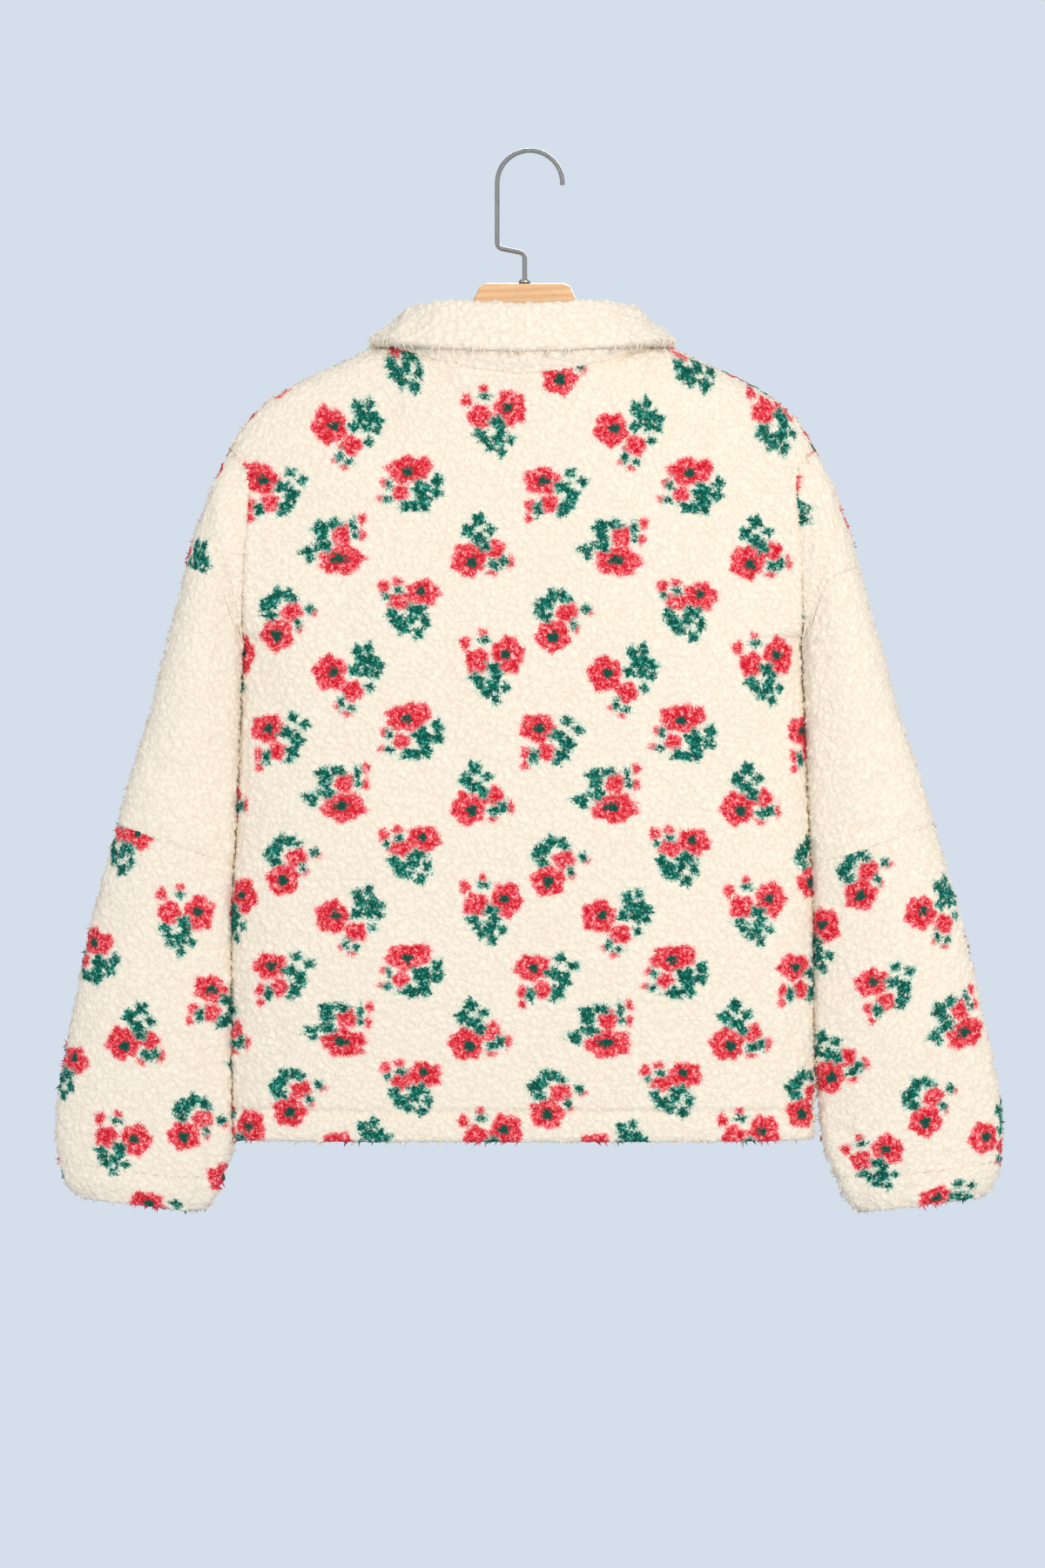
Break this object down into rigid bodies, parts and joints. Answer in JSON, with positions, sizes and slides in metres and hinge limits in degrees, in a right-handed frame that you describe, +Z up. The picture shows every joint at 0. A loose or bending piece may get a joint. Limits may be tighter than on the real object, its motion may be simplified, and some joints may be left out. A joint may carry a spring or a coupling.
{
  "type": "fleece pullover with a button collar on a wooden hanger",
  "caption": "Boxy pullover of curly fleece with a flower print, a turned-down button collar and elastic cuffs, hung on a wooden hanger with a wire hook.",
  "frame": {"origin": "top of the inside of the hook, where a rail holds the hanger", "axes": "+Z up, -Y out of the garment's back, +Y out of its front, +X to the right as seen from behind"},
  "size_m": [0.8278, 0.1045, 0.9292],
  "materials": {
    "flower_fleece": "cream curly fleece with a red flower and green leaf print",
    "cream_fleece": "plain cream curly fleece",
    "button_plastic": "cream plastic, satin",
    "beech": "light beech, clear satin lacquer",
    "brushed_nickel": "dull nickel-plated wire"
  },
  "bodies": {
    "root": {"back_panel": "flower_fleece", "front_panel": "flower_fleece", "sleeve_top_left": "flower_fleece", "sleeve_top_right": "flower_fleece", "sleeve_middle_left": "cream_fleece", "sleeve_middle_right": "cream_fleece", "sleeve_lower_left": "flower_fleece", "sleeve_lower_right": "flower_fleece", "cuff_left": "flower_fleece", "cuff_right": "flower_fleece", "collar": "cream_fleece", "placket": "cream_fleece", "button_1": "button_plastic", "button_2": "button_plastic", "button_3": "button_plastic", "hanger_wood": "beech", "hanger_ferrule": "brushed_nickel", "hanger_hook": "brushed_nickel"}
  },
  "joints": []
}
